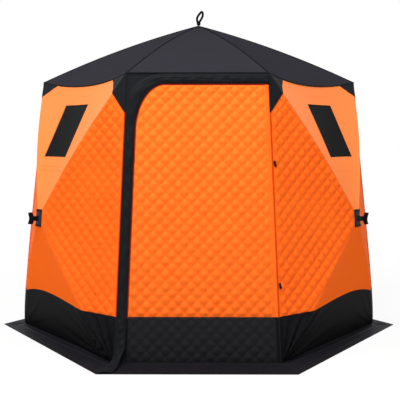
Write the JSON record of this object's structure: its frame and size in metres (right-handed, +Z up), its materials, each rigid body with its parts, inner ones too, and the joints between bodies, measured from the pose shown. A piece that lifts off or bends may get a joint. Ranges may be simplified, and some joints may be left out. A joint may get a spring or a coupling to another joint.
{
  "type": "ice fishing hut",
  "caption": "Six-sided pop-up ice fishing hut with quilted walls pushed out at hubs, dark windows, a domed roof, a skirt on the snow and a door that swings open.",
  "frame": {"origin": "middle of the plan, on the ground under the peak", "axes": "+Z up, the door wall faces -Y, +X to the right seen from in front of the door"},
  "size_m": [2.6936, 2.49, 2.1519],
  "materials": {
    "quilted_fabric": "satin",
    "window_panel_fabric": "satin",
    "lower_panel_fabric": "satin",
    "black_fabric": "matte",
    "roof_fabric": "matte",
    "skirt_fabric": "satin",
    "webbing": "matte",
    "rod": "satin",
    "hub_plastic": "matte",
    "window_film": "gloss"
  },
  "bodies": {
    "shelter": {"snow_skirt": "skirt_fabric", "front_right_window_panel": "window_panel_fabric", "front_right_quilted_sides": "quilted_fabric", "front_right_lower_panel": "lower_panel_fabric", "front_right_base_band": "black_fabric", "front_right_rods": "rod", "back_right_window_panel": "window_panel_fabric", "back_right_quilted_sides": "quilted_fabric", "back_right_lower_panel": "lower_panel_fabric", "back_right_base_band": "black_fabric", "back_right_rods": "rod", "back_left_window_panel": "window_panel_fabric", "back_left_quilted_sides": "quilted_fabric", "back_left_lower_panel": "lower_panel_fabric", "back_left_base_band": "black_fabric", "back_left_rods": "rod", "front_left_window_panel": "window_panel_fabric", "front_left_quilted_sides": "quilted_fabric", "front_left_lower_panel": "lower_panel_fabric", "front_left_base_band": "black_fabric", "front_left_rods": "rod", "window_panes": "window_film", "hub_patches": "black_fabric", "wall_hubs": "hub_plastic", "pull_tabs": "webbing", "corner_gussets": "black_fabric", "back_wall_head": "black_fabric", "back_wall_panel": "quilted_fabric", "back_wall_base": "black_fabric", "door_jamb": "black_fabric", "door_head": "black_fabric", "storm_flap": "roof_fabric", "door_cord": "webbing", "door_toggles": "hub_plastic", "roof_panel_front": "roof_fabric", "roof_panel_front_right": "roof_fabric", "roof_panel_back_right": "roof_fabric", "roof_panel_back": "roof_fabric", "roof_panel_back_left": "roof_fabric", "roof_panel_front_left": "roof_fabric", "roof_crown": "roof_fabric", "roof_hub": "hub_plastic", "roof_rods": "rod", "peak_loop": "webbing", "eave_sockets": "hub_plastic", "foot_sockets": "hub_plastic"},
    "door": {"door_panel": "quilted_fabric", "door_base": "black_fabric", "door_hem": "black_fabric"}
  },
  "joints": [
    {"name": "door_swing", "type": "hinge", "parent": "shelter", "child": "door", "pos_m": [0.46399, -1.03402, 0.00362], "axis": [-0.04, 0.0949, 0.9947], "range_deg": [0, 120]}
  ]
}
